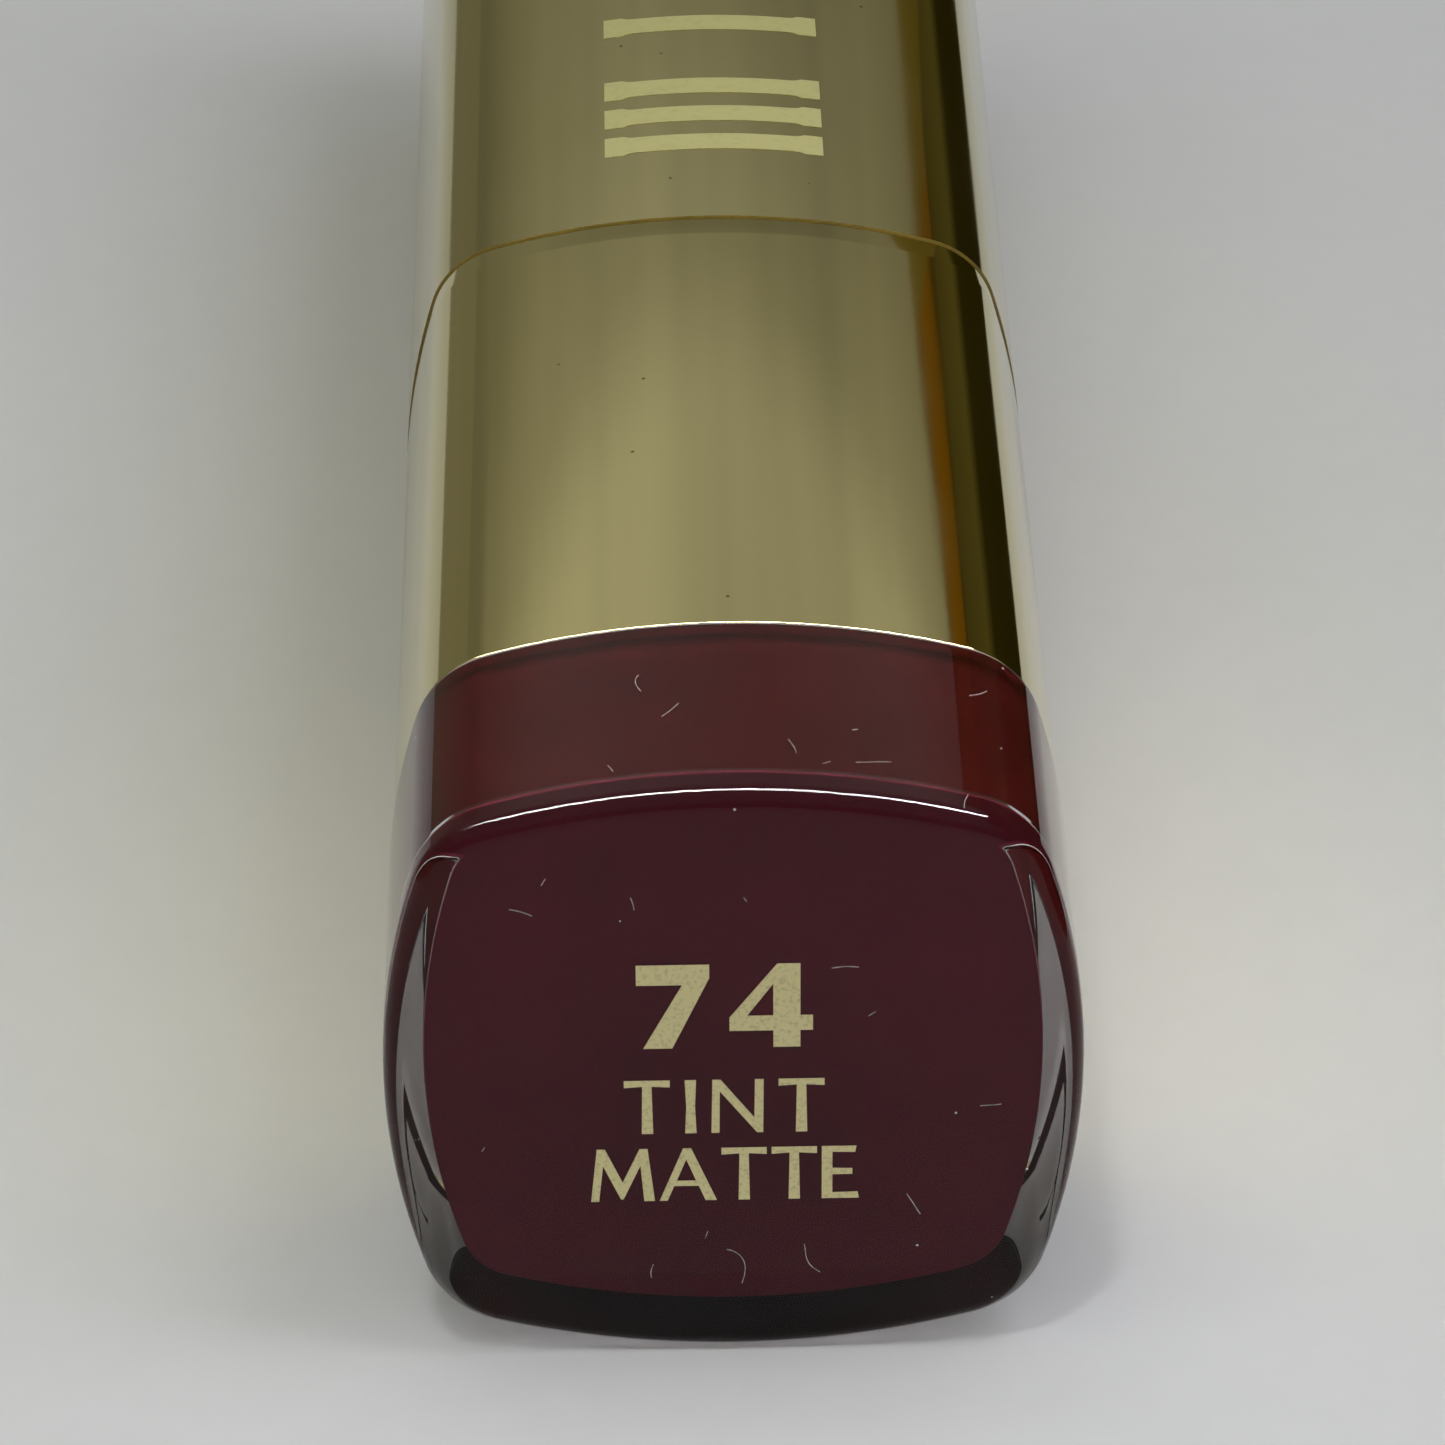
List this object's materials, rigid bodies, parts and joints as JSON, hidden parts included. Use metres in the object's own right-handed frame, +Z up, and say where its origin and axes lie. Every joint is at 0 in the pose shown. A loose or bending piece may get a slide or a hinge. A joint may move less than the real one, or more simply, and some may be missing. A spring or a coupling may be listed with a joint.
{
  "type": "lipstick case",
  "caption": "Twist-up lipstick in a bow-sided square case: gold cap and sleeve, clear base end over burgundy, lying on its side",
  "frame": {"origin": "on the surface the case lies on, under the middle of its length and width", "axes": "+Y along the case from its base end to the cap's end, +Z up, +X to the right seen from the base end"},
  "size_m": [0.021, 0.077, 0.021],
  "materials": {
    "clear_acrylic": "polished",
    "shade_film": "printed",
    "shade_plastic": "moulded",
    "gold_metallised": "lacquered",
    "gold_foil": "stamped",
    "pale_foil": "stamped matte",
    "core_plastic": "moulded",
    "guide_plastic": "moulded",
    "cam_plastic": "moulded",
    "liner_plastic": "moulded",
    "gold_aluminium": "anodised",
    "steel_slug": "turned",
    "seal_rubber": "moulded",
    "lip_colour": "waxy"
  },
  "bodies": {
    "base": {"clear_base_cup": "clear_acrylic", "shade_chip": "shade_film", "shade_plug": "shade_plastic", "shade_mark": "gold_foil", "base_weight": "steel_slug", "base_sleeve": "gold_metallised", "base_core": "core_plastic", "shoulder": "gold_aluminium", "guide_tube": "guide_plastic", "drag_ring": "seal_rubber"},
    "twist_tube": {"cam_tube": "cam_plastic", "collar_shell": "gold_aluminium"},
    "carrier": {"carrier_cup": "guide_plastic", "lipstick_bullet": "lip_colour"},
    "cap": {"cap_shell": "gold_metallised", "cap_mark": "pale_foil", "cap_liner": "liner_plastic"}
  },
  "joints": [
    {"name": "twist", "type": "hinge", "parent": "base", "child": "twist_tube", "pos_m": [0, 0, 0.0105], "axis": [0, -1, 0], "range_deg": [0, 450]},
    {"name": "lift", "type": "slide", "parent": "base", "child": "carrier", "axis": [0, 1, 0], "range_m": [0, 0.025]},
    {"name": "cap_off", "type": "slide", "parent": "base", "child": "cap", "axis": [0, 1, 0], "range_m": [0, 0.05]}
  ],
  "couplings": [
    {"joint": "lift", "follows": "twist", "m_per_rad": 0.003183}
  ]
}
